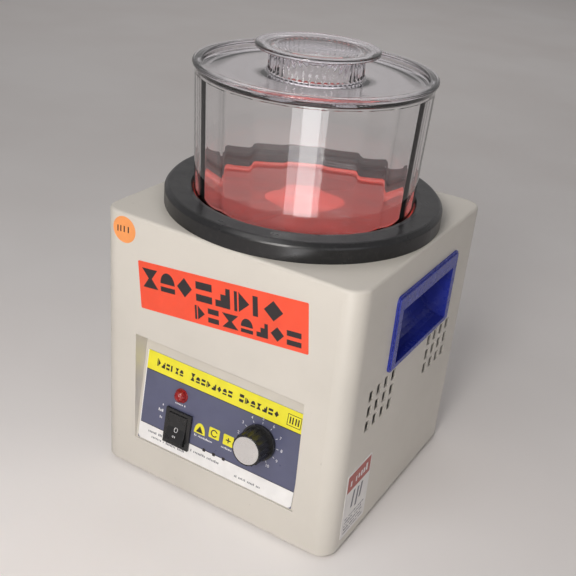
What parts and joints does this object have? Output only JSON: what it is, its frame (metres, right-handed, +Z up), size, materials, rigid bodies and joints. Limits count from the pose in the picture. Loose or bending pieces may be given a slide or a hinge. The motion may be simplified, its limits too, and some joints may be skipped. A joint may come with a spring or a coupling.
{
  "type": "magnetic tumbler",
  "caption": "Magnetic polishing tumbler: a clear faceted bowl with a lid stands in a round collar on a square painted case with a sunken control panel and side finger cups.",
  "frame": {"origin": "middle of the machine's footprint, on the plane of the feet's soles", "axes": "+Z up through the bowl, -Y towards the user and the control panel, +X to the user's right"},
  "size_m": [0.231, 0.2485, 0.363],
  "materials": {
    "case_paint": "satin powder coat, warm grey white",
    "zinc_steel": "zinc plated",
    "foot_rubber": "matte",
    "collar_black": "satin black",
    "floor_red": "smooth red",
    "clear_plastic": "clear",
    "cast_aluminium": "as cast",
    "magnet_nickel": "nickel plated",
    "ground_steel": "ground",
    "iron_core": "dark",
    "copper": "enamelled copper",
    "fan_plastic": "matte",
    "motor_paint": "satin",
    "carbon": "matte graphite",
    "brass_parts": "bright",
    "panel_print": "printed film",
    "switch_black": "satin black",
    "lamp_red": "clear red",
    "nut_plastic": "matte",
    "knob_black": "satin black",
    "knob_metal": "turned",
    "pot_metal": "plain",
    "handle_blue": "satin deep blue",
    "board_green": "solder mask",
    "parts_blue": "smooth",
    "inlet_black": "matte black",
    "label_orange": "printed film",
    "label_amber": "printed film",
    "label_white": "printed film"
  },
  "bodies": {
    "case": {"case_shell": "case_paint", "panel_tray": "case_paint", "base_plate": "zinc_steel", "motor_plate": "zinc_steel", "base_screws": "zinc_steel", "base_nuts": "zinc_steel", "foot_screws": "zinc_steel", "collar_screws": "zinc_steel", "motor_posts": "zinc_steel", "plate_screws": "zinc_steel", "motor_screws": "zinc_steel", "motor_tie_rods": "zinc_steel", "tray_nuts": "zinc_steel", "pot_nut": "zinc_steel", "inlet_screws": "zinc_steel", "board_pillars": "zinc_steel", "rubber_feet": "foot_rubber", "collar_ring": "collar_black", "bowl_floor": "floor_red", "motor_front_cap": "cast_aluminium", "motor_rear_cap": "cast_aluminium", "heat_sink": "cast_aluminium", "front_bearing": "ground_steel", "rear_bearing": "ground_steel", "field_magnets": "iron_core", "motor_can": "motor_paint", "carbon_brushes": "carbon", "brush_holders": "brass_parts", "switch_terminals": "brass_parts", "inlet_pins": "brass_parts", "panel_face": "panel_print", "switch_housing": "switch_black", "lamp_lens": "lamp_red", "lamp_nut": "nut_plastic", "potentiometer": "pot_metal", "handle_right": "handle_blue", "handle_left": "handle_blue", "control_board": "board_green", "board_parts": "parts_blue", "mains_inlet": "inlet_black", "fuse_holder": "inlet_black", "front_label": "label_orange", "dot_label": "label_amber", "side_label": "label_white"},
    "bowl": {"bowl": "clear_plastic"},
    "lid": {"lid": "clear_plastic"},
    "rotor": {"rotor_disc": "cast_aluminium", "rotor_magnets": "magnet_nickel", "rotor_grub_screw": "zinc_steel", "motor_shaft": "ground_steel", "armature_core": "iron_core", "armature_windings": "copper", "commutator": "copper", "cooling_fan": "fan_plastic"},
    "rocker": {"switch_rocker": "switch_black"},
    "knob": {"knob_skirt": "knob_black", "knob_cap": "knob_metal", "knob_spindle": "ground_steel"}
  },
  "joints": [
    {"name": "bowl_lift", "type": "slide", "parent": "case", "child": "bowl", "axis": [0, 0, 1], "range_m": [0, 0.14]},
    {"name": "lid_lift", "type": "slide", "parent": "bowl", "child": "lid", "axis": [0, 0, 1], "range_m": [0, 0.08]},
    {"name": "rotor_spin", "type": "hinge", "parent": "case", "child": "rotor", "pos_m": [0, 0, 0.2], "axis": [0, 0, 1], "continuous": true},
    {"name": "rocker_tilt", "type": "hinge", "parent": "case", "child": "rocker", "pos_m": [-0.0368, -0.10339, 0.05896], "axis": [1, 0, 0], "range_deg": [0, 16]},
    {"name": "knob_turn", "type": "hinge", "parent": "case", "child": "knob", "pos_m": [0.0395, -0.10285, 0.07951], "axis": [0, 0.989, -0.1478], "range_deg": [0, 300]}
  ]
}
